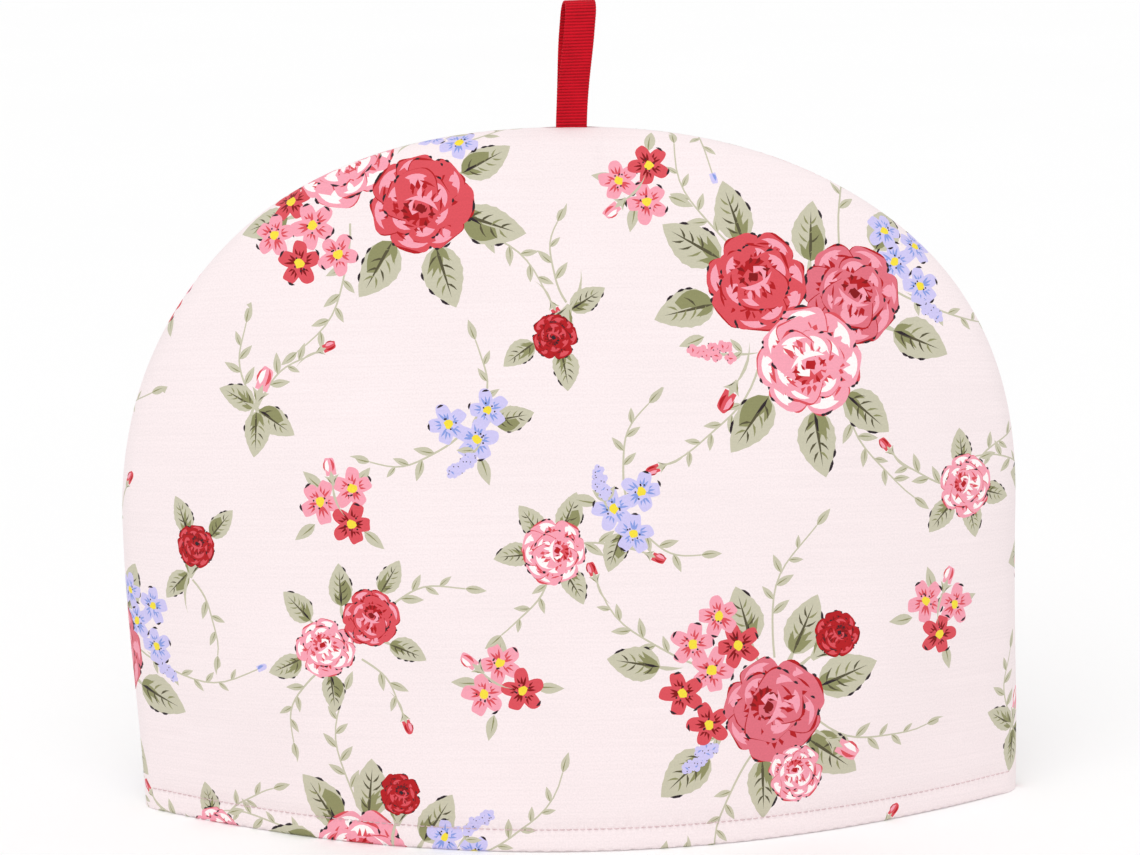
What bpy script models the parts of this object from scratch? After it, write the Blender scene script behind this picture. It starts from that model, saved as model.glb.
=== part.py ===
"""Tea cosy: two padded cotton panels joined along a dome-shaped seam, with a ribbon loop at the top.

Metres, +Z up. The origin is the middle of the hem, and the front panel faces -Y.
"""

import math

import bmesh
import bpy
import numpy as np

# Outline of the seam, in the plane y = 0
WIDTH = 0.340  # across the widest part
HEM_WIDTH = 0.337  # across the hem, corner to corner
HEIGHT = 0.260  # hem to top seam
WIDEST_AT = 0.111  # height of the widest part
DOME_ROUNDNESS = 2.25  # 2 would be an ellipse, more is squarer in the shoulders
HEM_TUCK = 1.6  # how late the sides draw in towards the hem
RIDGE = 0.012  # half the short level stretch at the top, where the ribbon is sewn in
SHIFTS = (  # height, how far the outline is shifted along X there
    (0.000, 0.0019),
    (0.100, -0.0006),
    (0.200, 0.0012),
    (0.260, -0.0016),
)

# Fullness of each panel
BELLY = 0.063  # how far the wadding stands out at the middle of the hem
BELLY_RISE = 2.2  # how high the belly keeps its fullness
BELLY_FALL = 0.8  # how it closes towards the top seam
HEM_BOW = 1.0  # the hem bows out in a parabola between its corners
PILLOW_BOW = 0.76  # above it the sides are rounder
PILLOW_FROM = 0.080  # height where the sides have reached that roundness
SEAM_ROLL = 0.005  # radius of the padded edge where it turns in to the seam
WALL = 0.0045  # seam allowance, from the outer edge to the hollow
SEAM_GAP = 0.00015  # from the seam's plane to each panel

# Turned hem
STITCH_AT = 0.0087  # height of the stitch line
STITCH_DEPTH = 0.0008  # how deep the stitches draw the padding in
STITCH_REACH = 0.0024
HEM_ROUND = 0.002  # height of the rounded lower edge
HEM_UNDER = 0.0012  # how far that edge turns under

# Soft hollows where the padding has settled: middle x, middle z, reach in x, reach in z, depth
FRONT_HOLLOWS = (
    (0.078, 0.098, 0.026, 0.050, 0.0022),
    (-0.118, 0.176, 0.016, 0.012, 0.0012),
    (-0.050, 0.060, 0.040, 0.030, 0.0010),
)
BACK_HOLLOWS = (
    (-0.060, 0.110, 0.030, 0.045, 0.0018),
    (0.090, 0.070, 0.030, 0.036, 0.0012),
)

# Ribbon loop
RIBBON_WIDTH = 0.0116
RIBBON_THICK = 0.0010
LOOP_TALL = 0.047  # above the top seam
LOOP_OPEN = 0.0090  # widest space between the two legs
LOOP_WIDEST = 0.74  # where that is, as a part of the loop's height
LEG_IN_SEAM = 0.0045
LEG_GAP = 0.00015  # from the seam's plane to each leg
RIBBON_AT = 0.0032  # where it is sewn in, along X
LOOP_LEAN = 0.0038  # how far its top leans along X
LOOP_TWIST = math.radians(-10)
RIB_PITCH = 0.00115
RIB_HEIGHT = 0.00012
RIB_STEPS = 2  # points for each rib
SLOT_HALF = 0.0074  # the seam opens this far to each side of the ribbon's middle
SLOT_FADE = 0.0045
SLOT_DEEP = 0.010
SLOT_CLEAR = 0.0003

# Grid of each panel
COLUMNS = 36
DOME_ROWS = 20
SIDE_ROWS = 6
HEM_ROWS = (0.0, 0.0006, HEM_ROUND, STITCH_AT - STITCH_REACH, STITCH_AT, STITCH_AT + STITCH_REACH)


def clear_scene():
    for item in list(bpy.data.objects):
        bpy.data.objects.remove(item, do_unlink=True)


def cloth(name, colour, roughness, sheen):
    material = bpy.data.materials.new(name)
    material.use_nodes = True
    shader = material.node_tree.nodes["Principled BSDF"]
    shader.inputs["Base Color"].default_value = (*colour, 1)
    shader.inputs["Roughness"].default_value = roughness
    shader.inputs["Metallic"].default_value = 0
    shader.inputs["Sheen Weight"].default_value = sheen
    return material


def ease(t):
    t = np.clip(t, 0, 1)
    return t * t * (3 - 2 * t)


def outline_shift(z):
    """How far the outline is shifted along X at a height, eased from row to row of the table."""
    heights, shifts = np.array(SHIFTS).T
    z = np.clip(z, heights[0], heights[-1])
    row = np.clip(np.searchsorted(heights, z) - 1, 0, len(heights) - 2)
    part = (z - heights[row]) / (heights[row + 1] - heights[row])
    return shifts[row] + (shifts[row + 1] - shifts[row]) * ease(part)


def half_width(z, inset):
    """Half the outline's width at a height, for the outline drawn in by inset."""
    widest = WIDTH / 2 - inset
    rise = np.clip((z - WIDEST_AT) / (HEIGHT - inset - WIDEST_AT), 0, 1)
    fall = np.clip((WIDEST_AT - z) / WIDEST_AT, 0, 1)
    dome = widest * (1 - rise**DOME_ROUNDNESS) ** (1 / DOME_ROUNDNESS)
    return dome - (WIDTH - HEM_WIDTH) / 2 * fall**HEM_TUCK


def row_heights(inset):
    """Heights of the grid's rows: close at the hem and at the top, even between."""
    sides = np.linspace(HEM_ROWS[-1], WIDEST_AT, SIDE_ROWS + 1)[1:]
    last = math.acos((RIDGE / (WIDTH / 2 - inset)) ** (DOME_ROUNDNESS / 2))
    angles = np.linspace(0, last, DOME_ROWS + 1)[1:]
    dome = WIDEST_AT + (HEIGHT - inset - WIDEST_AT) * np.sin(angles) ** (2 / DOME_ROUNDNESS)
    return np.concatenate([HEM_ROWS, sides, dome])


def panel_grid(inset):
    """The x and z of every grid point, rows from the hem to the ridge and columns from -X to +X."""
    z = row_heights(inset)
    across = -np.cos(np.linspace(0, math.pi, COLUMNS + 1))
    x = outline_shift(z)[:, None] + half_width(z, inset)[:, None] * across[None, :]
    return x, np.repeat(z[:, None], COLUMNS + 1, axis=1)


def seam_distance(x, z):
    """Distance in the seam's plane from each point to the outline."""
    heights = row_heights(0)
    heights = np.sort(np.concatenate([heights, (heights[1:] + heights[:-1]) / 2]))
    right = np.stack([outline_shift(heights) + half_width(heights, 0), heights], 1)
    left = np.stack([outline_shift(heights) - half_width(heights, 0), heights], 1)
    path = np.concatenate([right, left[::-1]])
    nearest = np.full(x.shape, np.inf)
    for (ax, az), (bx, bz) in zip(path[:-1], path[1:]):
        length = (bx - ax) ** 2 + (bz - az) ** 2
        along = np.clip(((x - ax) * (bx - ax) + (z - az) * (bz - az)) / length, 0, 1)
        away = np.hypot(x - ax - along * (bx - ax), z - az - along * (bz - az))
        nearest = np.minimum(nearest, away)
    return nearest


def belly(x, z, inset):
    """How far the padding stands out from the seam, without the rolled edge."""
    across = np.clip((x - outline_shift(z)) / half_width(z, inset), -1, 1)
    rise = np.clip(z / (HEIGHT - inset), 0, 1)
    bow = HEM_BOW + (PILLOW_BOW - HEM_BOW) * ease(z / PILLOW_FROM)
    return BELLY * (1 - rise**BELLY_RISE) ** BELLY_FALL * (1 - across**2) ** bow


def slot(x, z):
    """How far the seam opens for the ribbon's legs."""
    half_slot = LEG_GAP + RIBBON_THICK + SLOT_CLEAR - SEAM_GAP
    beside = 1 - ease((np.abs(x - RIBBON_AT) - SLOT_HALF) / SLOT_FADE)
    below = 1 - ease((HEIGHT - z - SLOT_DEEP) / SLOT_DEEP)
    return half_slot * beside * below


def hollow_depth(x, z, hollows):
    depth = np.zeros_like(x)
    for at_x, at_z, reach_x, reach_z, deep in hollows:
        depth += deep * np.exp(-(((x - at_x) / reach_x) ** 2) - ((z - at_z) / reach_z) ** 2)
    return depth


def outer_depth(x, z, hollows):
    """Distance of the outer face from the seam's plane."""
    away = seam_distance(x, z)
    roll = SEAM_ROLL * np.sqrt(np.clip(1 - (1 - np.clip(away / SEAM_ROLL, 0, 1)) ** 2, 0, 1))
    inside = np.clip(away / (2 * SEAM_ROLL), 0, 1)
    stitched = STITCH_DEPTH * np.exp(-(((z - STITCH_AT) / STITCH_REACH) ** 2))
    lower = np.clip(1 - z / HEM_ROUND, 0, 1)
    under = HEM_UNDER * (1 - np.sqrt(1 - lower**2))
    drawn_in = (stitched + under + hollow_depth(x, z, hollows)) * inside
    return SEAM_GAP + slot(x, z) + roll + belly(x, z, 0) - drawn_in


def inner_depth(x, z):
    """Distance of the inner face from the seam's plane."""
    return SEAM_GAP + slot(x, z) + belly(x, z, WALL)


def closed_grid_shell(name, outer, inner, flip):
    """A shell from two grids of points of the same size, bridged along their four edges."""
    rows, columns = outer.shape[:2]
    shell = bmesh.new()
    faces = []
    grids = []
    for points in (outer, inner):
        grids.append([[shell.verts.new(point) for point in row] for row in points])
    for grid, turned in zip(grids, (flip, not flip)):
        for j in range(rows - 1):
            for i in range(columns - 1):
                corners = [grid[j][i], grid[j][i + 1], grid[j + 1][i + 1], grid[j + 1][i]]
                faces.append(shell.faces.new(corners[::-1] if turned else corners))
    round_edge = [(0, i) for i in range(columns)]
    round_edge += [(j, columns - 1) for j in range(1, rows)]
    round_edge += [(rows - 1, i) for i in range(columns - 2, -1, -1)]
    round_edge += [(j, 0) for j in range(rows - 2, 0, -1)]
    for (j, i), (next_j, next_i) in zip(round_edge, round_edge[1:] + round_edge[:1]):
        corners = [grids[0][j][i], grids[1][j][i], grids[1][next_j][next_i], grids[0][next_j][next_i]]
        faces.append(shell.faces.new(corners[::-1] if flip else corners))
    bmesh.ops.triangulate(shell, faces=faces)
    mesh = bpy.data.meshes.new(name)
    shell.to_mesh(mesh)
    shell.free()
    return mesh


def add_object(name, mesh, material, sharp_from):
    mesh.shade_smooth()
    mesh.set_sharp_from_angle(angle=sharp_from)
    mesh.materials.append(material)
    item = bpy.data.objects.new(name, mesh)
    bpy.context.collection.objects.link(item)
    return item


def panel(name, facing, hollows, material):
    """One padded panel, from the seam's plane towards facing, which is -1 for -Y and 1 for +Y."""
    x_out, z_out = panel_grid(0)
    y_out = outer_depth(x_out, z_out, hollows)
    on_seam = np.zeros(x_out.shape, bool)
    on_seam[:, 0] = on_seam[:, -1] = on_seam[-1] = True
    y_out[on_seam] = SEAM_GAP + slot(x_out, z_out)[on_seam]
    x_in, z_in = panel_grid(WALL)
    y_in = inner_depth(x_in, z_in)
    y_in[on_seam] = SEAM_GAP + slot(x_in, z_in)[on_seam]
    outer = np.stack([x_out, facing * y_out, z_out], axis=-1)
    inner = np.stack([x_in, facing * y_in, z_in], axis=-1)
    mesh = closed_grid_shell(name, outer, inner, flip=facing > 0)
    return add_object(name, mesh, material, math.radians(50))


def loop_path():
    """The ribbon's middle line in its own plane: (across, up) points from one leg's end to the other."""
    leg = LEG_GAP + RIBBON_THICK / 2
    bend = LOOP_OPEN / 2 + RIBBON_THICK / 2
    top = LOOP_TALL - RIBBON_THICK / 2 - bend
    up = np.linspace(-LEG_IN_SEAM, top, 200)
    spread = ease(up / (LOOP_WIDEST * LOOP_TALL))
    legs = np.stack([-(leg + (bend - leg) * spread), up], 1)
    angles = np.linspace(math.pi, 0, 90)[1:-1]
    crown = np.stack([bend * np.cos(angles), top + bend * np.sin(angles)], 1)
    return np.concatenate([legs, crown, legs[::-1] * (-1, 1)])


def even_points(path, step):
    """Points at an even spacing along a path, with the path's direction at each."""
    lengths = np.concatenate([[0], np.cumsum(np.hypot(*np.diff(path, axis=0).T))])
    count = round(lengths[-1] / step)
    at = np.linspace(0, lengths[-1], count + 1)
    points = np.stack([np.interp(at, lengths, path[:, k]) for k in (0, 1)], 1)
    heading = np.gradient(points, axis=0)
    return points, heading / np.linalg.norm(heading, axis=1)[:, None]


def ribbon_loop(material):
    """A folded length of grosgrain, its cross ribs raised on both faces."""
    points, heading = even_points(loop_path(), RIB_PITCH / RIB_STEPS)
    outwards = np.stack([-heading[:, 1], heading[:, 0]], 1)
    ribs = RIB_HEIGHT * (np.arange(len(points)) % RIB_STEPS - 1)
    half = (RIBBON_THICK / 2 + ribs)[:, None]
    shell = bmesh.new()
    rings = []
    for outside, inside in zip(points + outwards * half, points - outwards * half):
        ring = []
        for side, (across, up) in ((-1, outside), (1, outside), (1, inside), (-1, inside)):
            height = max(up, 0) / LOOP_TALL
            turn = LOOP_TWIST * ease(height / LOOP_WIDEST)
            x = side * RIBBON_WIDTH / 2
            moved_x = RIBBON_AT + LOOP_LEAN * height**1.3 + x * math.cos(turn) + across * math.sin(turn)
            moved_y = across * math.cos(turn) - x * math.sin(turn)
            ring.append(shell.verts.new((moved_x, moved_y, HEIGHT + up)))
        rings.append(ring)
    for ring, following in zip(rings[:-1], rings[1:]):
        for k in range(4):
            near = (k + 1) % 4
            shell.faces.new((ring[k], ring[near], following[near], following[k]))
    shell.faces.new(rings[0][::-1])
    shell.faces.new(rings[-1])
    bmesh.ops.recalc_face_normals(shell, faces=shell.faces)
    bmesh.ops.triangulate(shell, faces=shell.faces)
    mesh = bpy.data.meshes.new("ribbon_loop")
    shell.to_mesh(mesh)
    shell.free()
    return add_object("ribbon_loop", mesh, material, math.radians(60))


clear_scene()
cotton = cloth("printed_cotton", (0.945, 0.850, 0.870), 0.85, 0.2)
grosgrain = cloth("red_grosgrain", (0.520, 0.007, 0.016), 0.6, 0.3)
panel("front_panel", -1, FRONT_HOLLOWS, cotton)
panel("back_panel", 1, BACK_HOLLOWS, cotton)
ribbon_loop(grosgrain)
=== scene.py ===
import math

import bpy
import numpy as np
from mathutils import Matrix, Vector
from mathutils.geometry import delaunay_2d_cdt
from mathutils.kdtree import KDTree


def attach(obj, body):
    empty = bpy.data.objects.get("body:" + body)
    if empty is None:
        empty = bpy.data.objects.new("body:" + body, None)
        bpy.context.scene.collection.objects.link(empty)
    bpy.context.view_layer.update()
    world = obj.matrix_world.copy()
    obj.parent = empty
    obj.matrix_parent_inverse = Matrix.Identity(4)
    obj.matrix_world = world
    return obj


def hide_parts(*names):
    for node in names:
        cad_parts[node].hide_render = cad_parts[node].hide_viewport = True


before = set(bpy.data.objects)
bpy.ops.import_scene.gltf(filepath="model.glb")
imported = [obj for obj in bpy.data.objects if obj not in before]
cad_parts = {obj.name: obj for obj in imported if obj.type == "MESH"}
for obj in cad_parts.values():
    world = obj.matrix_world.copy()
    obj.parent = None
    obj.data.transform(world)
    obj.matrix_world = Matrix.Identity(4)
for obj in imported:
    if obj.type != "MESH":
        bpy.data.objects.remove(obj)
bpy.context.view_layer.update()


# Printed cotton, the brush marks and flowers.
# The cloth is a light cotton in plain weave, screen printed in flat inks: a ground and thirteen colours.
# Motifs are drawn here in millimetres as filled shapes, (ink, points), each painted over the ones before.

INKS = {
    "ground": "#F8EBEC",
    "white": "#FFF8F7",
    "pink": "#F6A3B4",
    "rose": "#E0707F",
    "coral": "#DC505A",
    "red": "#B4151C",
    "wine": "#860A0F",
    "sage": "#C9C5AE",
    "olive": "#8F8F63",
    "moss": "#57523A",
    "black": "#2C2128",
    "lilac": "#CFC8F2",
    "blue": "#8A9EE0",
    "yellow": "#F6DF3F",
}


def linear(code):
    """The linear colour, with an alpha of 1, of an sRGB hex code."""
    parts = [int(code[k : k + 2], 16) / 255 for k in (1, 3, 5)]
    return [p / 12.92 if p <= 0.04045 else ((p + 0.055) / 1.055) ** 2.4 for p in parts] + [1.0]


def around(angle, radius):
    return np.stack([np.cos(angle) * radius, np.sin(angle) * radius], -1)


def placed(shapes, at, turn):
    """A motif moved to a place on the cloth and turned by degrees."""
    angle = math.radians(turn)
    turned = np.array([[math.cos(angle), math.sin(angle)], [-math.sin(angle), math.cos(angle)]])
    return [(ink, points @ turned + np.asarray(at)) for ink, points in shapes]


def stroke(start, end, width, bow=0.0, steps=3, fat=0.45):
    """One brush stroke, pointed at both ends: bow bends it sideways, fat says where it is widest."""
    start = np.asarray(start, float)
    along = np.asarray(end, float) - start
    side = np.array([-along[1], along[0]])
    t = np.linspace(0, 1, steps + 2)
    middle = start + along * t[:, None] + side * (4 * bow * t * (1 - t))[:, None]
    half = width / 2 * np.sin(math.pi * t[1:-1] ** (math.log(0.5) / math.log(fat)))
    out = side / (np.linalg.norm(side) + 1e-9) * half[:, None]
    return np.vstack([middle[:1], middle[1:-1] + out, middle[-1:], (middle[1:-1] - out)[::-1]])


def spot(radius, points, rough, rng):
    """A round spot with an uneven edge."""
    angles = np.linspace(0, 2 * math.pi, points, endpoint=False)
    return around(angles, radius * (1 + rough * rng.uniform(-1, 1, points)))


def lobe(at, heading, length, width, rng, points=17, ruffle=0.05):
    """A rounded petal with its foot at a point: heading is an angle in radians."""
    t = np.linspace(-1, 1, points)
    wave = 1 + ruffle * np.cos(t * math.pi * 1.7 + rng.uniform(0, 6)) * (1 - t**2)
    out = length * (1 - np.abs(t) ** 2.3) ** 0.62 * wave
    side = width / 2 * np.sign(t) * np.abs(t) ** 0.62 * (1 - 0.28 * np.abs(t) ** 3)
    return placed([(None, np.stack([out, side], 1))], at, math.degrees(heading))[0][1]


def on_petal(at, heading, length, width, u, v):
    """A place on such a petal: u runs from its foot to its rim, v from side to side."""
    out = length * u * (1 - abs(v) ** 2.3) ** 0.62
    side = width / 2 * v * 0.86
    cos, sin = math.cos(heading), math.sin(heading)
    return np.array([cos * out - sin * side, sin * out + cos * side]) + at


def crescent(where, rim, thick, first, last, points=7):
    """A curved mark along a petal's rim, pointed at both ends."""
    t = np.linspace(0, 1, points)
    across = first + (last - first) * t
    outer = [where(rim, v) for v in across]
    depth = thick * np.sin(math.pi * t) ** 0.75
    inner = [where(rim - deep, v) for deep, v in zip(depth[-2:0:-1], across[-2:0:-1])]
    return np.array(outer + inner)


def painted_petal(at, heading, length, width, inks, rng, shine, foot):
    """A petal: shaded edge, body, a light mark at the rim, shading from the foot, outline dashes."""
    body, light, shade = inks[:3]

    def where(u, v):
        return on_petal(at, heading, length, width, u, v)

    lean = 0.05 * rng.choice([-1, 1])
    shapes = [(shade, lobe(at, heading + lean, length * 1.01, width, rng))]
    shapes.append((body, lobe(at, heading, length * 0.99, width * 0.99, rng)))
    if rng.random() < shine:
        first = rng.uniform(-0.88, -0.4)
        last = min(first + rng.uniform(0.8, 1.5), 0.88)
        thick = rng.uniform(0.14, 0.3)
        shapes.append((light, crescent(where, 0.9, thick, first, last)))
        for v in rng.uniform(first * 0.7, last * 0.7, 2):
            end = where(rng.uniform(0.4, 0.56), v * 0.7)
            bow = rng.uniform(-0.12, 0.12)
            shapes.append((light, stroke(where(0.84, v), end, 0.15 * width, bow, 3, 0.35)))
    middle = rng.uniform(-0.35, 0.35)
    for v in (middle - 0.22, middle, middle + 0.24):
        end = where(foot + rng.uniform(0.2, 0.42), v * 1.25)
        shapes.append((shade, stroke(where(foot, v), end, 0.1 * width, rng.uniform(-0.1, 0.1), 2, 0.3)))
    if rng.random() < 0.5:
        side = rng.choice([-1, 1])
        shapes.append((shade, crescent(where, 0.7, 0.1, 0.2 * side, 0.8 * side, 5)))
    rim = lobe(at, heading, length, width, rng, 25, 0.0)
    for k in rng.choice(np.arange(3, 20), 2, replace=False):
        end = rim[k + 2] + (rim[k + 3] - rim[k + 2]) * rng.uniform(0, 0.9)
        shapes.append(("black", stroke(rim[k], end, 0.04 * width + 0.2, -0.1, 2)))
    return shapes


# The petals of a rose: angle in degrees, then foot, length and width as parts of the rose's radius
GUARD_PETALS = (
    (92, 0.36, 0.58, 1.10),
    (148, 0.38, 0.58, 1.05),
    (36, 0.38, 0.58, 1.05),
    (203, 0.38, 0.60, 1.10),
    (-18, 0.38, 0.60, 1.10),
    (250, 0.38, 0.60, 1.10),
    (304, 0.38, 0.60, 1.05),
    (274, 0.32, 0.56, 0.90),
)
CUPPED_PETALS = (
    (120, 0.08, 0.58, 0.86),
    (56, 0.08, 0.58, 0.86),
    (188, 0.06, 0.62, 1.00),
    (-8, 0.06, 0.62, 1.00),
    (238, 0.02, 0.62, 0.95),
    (300, 0.02, 0.66, 1.05),
)
CORAL_ROSE = ("coral", "pink", "red", "wine")
PALE_ROSE = ("pink", "white", "coral", "red")
MID_ROSE = ("rose", "pink", "red", "wine")
DARK_ROSE = ("red", "coral", "wine", "black")


def rose(rng, radius, inks):
    """A full rose: guard petals, petals cupped round a ball, and a dark heart near the top of it."""
    body, light, shade, deep = inks
    r = radius
    shapes = [(body, spot(0.8 * r, 18, 0.02, rng))]
    for angle, foot, length, width in GUARD_PETALS:
        heading = math.radians(angle + rng.uniform(-8, 8))
        size = r * rng.uniform(0.93, 1.07)
        at = around(heading, foot * r)
        shapes += painted_petal(at, heading, length * size, width * size, inks, rng, 0.8, 0.3)
    middle = np.array([0.02, 0.06]) * r
    for angle, foot, length, width in CUPPED_PETALS:
        heading = math.radians(angle + rng.uniform(-8, 8))
        size = r * rng.uniform(0.94, 1.06)
        at = middle + around(heading, foot * r)
        shapes += painted_petal(at, heading, length * size, width * size, inks, rng, 0.9, 0.42)
    heart = middle + np.array([rng.uniform(-0.06, 0.08), rng.uniform(0.07, 0.15)]) * r
    cup = spot(0.33 * r, 18, 0.03, rng) * (1, 0.8)
    shapes.append((body, cup * 1.2 + heart - (0, 0.03 * r)))
    shapes.append((shade, cup * 0.96 + heart))
    for t in np.linspace(-2.4, 2.4, 10):
        angle = math.pi / 2 + t
        out = around(angle, 0.36 * r) * (1, 0.8)
        into = around(angle + 0.25, rng.uniform(0.14, 0.24) * r) * (1, 0.8)
        ink = deep if rng.random() < 0.6 else body
        shapes.append((ink, stroke(out + heart, into + heart, 0.075 * r, 0.12, 2, 0.3)))
    for angle, size, ink in ((-150, 0.24, body), (-40, 0.25, light), (-95, 0.25, body), (-110, 0.16, deep)):
        heading = math.radians(angle + rng.uniform(-15, 15))
        shapes.append((ink, lobe(heart - (0, 0.02 * r), heading, size * r, size * 1.5 * r, rng, 11)))
    for t in np.linspace(-1, 1, 5):
        foot = heart + np.array([0.2 * t, 0.03 * t * t - 0.04]) * r
        end = foot + np.array([0.06 * t, 0.05 * abs(t) - 0.16]) * r
        shapes.append((deep, stroke(foot, end, 0.05 * r, 0.1 * t, 2, 0.3)))
    lip = heart - (0, 0.26 * r)
    left, right = lip + (-0.36 * r, 0.1 * r), lip + (0.34 * r, 0.12 * r)
    shapes.append((light, stroke(left, right, 0.12 * r, -0.2, 6)))
    for t in (-0.7, -0.25, 0.3):
        foot = lip + np.array([0.3 * t, -0.03]) * r
        end = foot + np.array([0.1 * t, -0.22]) * r
        shapes.append((light, stroke(foot, end, 0.1 * r, 0.15 * t, 3, 0.35)))
    for t in (-0.5, 0.05, 0.6):
        foot = lip + np.array([0.36 * t, -0.03]) * r
        shapes.append((shade, stroke(foot, foot + np.array([0.06 * t, -0.2]) * r, 0.05 * r, 0.1, 2, 0.3)))
    return shapes


def calyx(size):
    """The green cup and sepals behind a flower that faces +X from the origin."""
    outline = [(-0.35, -0.1), (0.0, -0.22), (0.5, -0.62), (0.4, -0.2), (0.9, 0.0)]
    outline += [(0.4, 0.22), (0.55, 0.62), (0.0, 0.24), (-0.35, 0.1)]
    shapes = [("sage", np.array(outline) * size)]
    for ink, start, end, width in (
        ("olive", (-0.2, 0.05), (0.4, 0.4), 0.12),
        ("moss", (-0.2, -0.06), (0.34, -0.4), 0.08),
    ):
        shapes.append((ink, stroke(np.multiply(start, size), np.multiply(end, size), width * size, 0.05, 1)))
    return shapes


def dark_rose(rng, size):
    """A half-open dark rose on its calyx."""
    stalk = [("sage", stroke((-0.9 * size, -0.1 * size), (0, 0), 0.07 * size, 0.12, 4, 0.6))]
    return stalk + calyx(0.5 * size) + placed(rose(rng, 0.44 * size, DARK_ROSE), (0.5 * size, 0), -90)


def bud(rng, size, inks):
    """A closed bud along +X in its calyx."""
    body, light, shade = inks
    shapes = [("sage", stroke((-1.5 * size, -0.25 * size), (0, 0), 0.11 * size, 0.1, 4, 0.6))]
    shapes.append((body, lobe((0.26 * size, 0), 0, 0.74 * size, 0.6 * size, rng, 13)))
    for ink, start, end, width, bow, steps in (
        (light, (0.42, 0.1), (0.92, 0.06), 0.2, 0.12, 3),
        (shade, (0.4, -0.08), (0.96, -0.04), 0.12, -0.14, 3),
        (shade, (0.46, 0.24), (0.94, 0.16), 0.08, 0.1, 2),
    ):
        start, end = np.multiply(start, size), np.multiply(end, size)
        shapes.append((ink, stroke(start, end, width * size, bow, steps)))
    return shapes + calyx(0.5 * size)


def leaf(rng, size):
    """A rose leaf along +X: a dark patch at its foot, veins, and dashes along one edge."""
    wide = size * rng.uniform(0.56, 0.66)
    bend = size * rng.uniform(-0.06, 0.06)

    def at(u, v):
        half = wide / 2 * max(math.sin(math.pi * min(u, 1.0) ** 0.74), 0.0) ** 0.82
        return np.array([u * size, 4 * bend * u * (1 - u) + v * half])

    t = np.linspace(0, 1, 14)
    upper = [at(u, 1 + 0.03 * (-1) ** k) for k, u in enumerate(t)]
    lower = [at(u, -1 + 0.03 * (-1) ** k) for k, u in enumerate(t)]
    shapes = [("sage", stroke((-0.42 * size, -0.05 * size), (0.1 * size, 0), 0.08 * size, 0.06, 4, 0.6))]
    shapes.append(("sage", np.array(upper + lower[-2:0:-1])))
    side = rng.choice([-1, 1])
    if rng.random() < 0.35:
        edge = [at(u, (0.98 - 1.9 * u**3) * side) for u in t[:9]]
        rib = [at(u, 0.03 * side) for u in t[7:0:-1]]
        shapes.append(("olive", np.array(edge + rib)))
    for u, v in ((0.34, 0.75), (0.5, 0.5), (0.42, 0.15), (0.3, -0.5)):
        end = at(u * rng.uniform(0.85, 1.2), v * side)
        shapes.append(("olive", stroke(at(0.02, 0.1 * v * side), end, 0.12 * size, 0.06, 3, 0.35)))
    shapes.append(("moss", stroke(at(0.0, 0), at(0.84, 0), 0.05 * size, 0, 4, 0.25)))
    for u in (0.14, 0.3, 0.46, 0.6):
        for v in (-1, 1):
            ink = "moss" if rng.random() < 0.4 else "olive"
            end = at(u + 0.16, 0.62 * v)
            shapes.append((ink, stroke(at(u, 0.02 * v), end, 0.036 * size, 0.1 * v, 2, 0.3)))
    if rng.random() < 0.5:
        shapes.append(("black", stroke(at(0.04, 0), at(0.34, 0.1 * side), 0.05 * size, 0.04, 2, 0.3)))
    for u in rng.uniform(0.2, 0.8, 3):
        shapes.append(("black", stroke(at(u, side), at(u + 0.14, side), 0.045 * size, 0.06 * side, 2)))
    return shapes


def leaflet(size, slender=0.38):
    """A small plain leaf along +X with one vein."""
    t = np.linspace(0, 1, 7)
    half = slender * size / 2 * np.sin(math.pi * t**0.8)
    blade = np.vstack([np.stack([t * size, half], 1), np.stack([t * size, -half], 1)[-2:0:-1]])
    return [("sage", blade), ("olive", stroke((0, 0), (0.72 * size, 0.02 * size), 0.06 * size, 0.03, 2, 0.3))]


def tendril(rng, length, bow, tip):
    """A thin winding stem along +X: leaflets on either side in turn, then a leaflet, bud or bell."""
    t = np.linspace(0, 1, 13)
    winding = 0.022 * length * np.sin(t * 2.6 * math.pi + rng.uniform(0, 6)) * (0.3 + 0.7 * t)
    middle = np.stack([t * length, 4 * bow * length * t * (1 - t) + winding], 1)
    heading = np.gradient(middle, axis=0)
    out = np.stack([-heading[:, 1], heading[:, 0]], 1) / np.linalg.norm(heading, axis=1)[:, None]
    half = (0.42 * (1 - 0.4 * t))[:, None]
    shapes = [("sage", np.vstack([middle + out * half, (middle - out * half)[::-1]]))]
    count = max(3, round(length / 9))
    for k in range(count):
        u = 0.3 + 0.6 * k / count
        at = [np.interp(u, t, middle[:, 0]), np.interp(u, t, middle[:, 1])]
        slope = math.degrees(math.atan2(np.interp(u, t, heading[:, 1]), np.interp(u, t, heading[:, 0])))
        side = 1 if k % 2 else -1
        small_leaf = leaflet(rng.uniform(6.4, 9.0) * (1.1 - 0.4 * u))
        shapes += placed(small_leaf, at, slope + side * rng.uniform(32, 56))
    slope = math.degrees(math.atan2(heading[-1, 1], heading[-1, 0]))
    if tip == "bud":
        shapes += placed(bud(rng, 7.0, ("coral", "pink", "red")), middle[-1], slope)
    elif tip == "bell":
        bell = [("lilac", lobe((0, 0), 0, 4.2, 3.4, rng, 9))]
        bell.append(("blue", stroke((0, 0), (3.2, 0.4), 1.2, 0.1, 2)))
        shapes += placed(bell, middle[-1], slope)
    else:
        shapes += placed(leaflet(8.0), middle[-1], slope)
    return shapes


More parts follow.
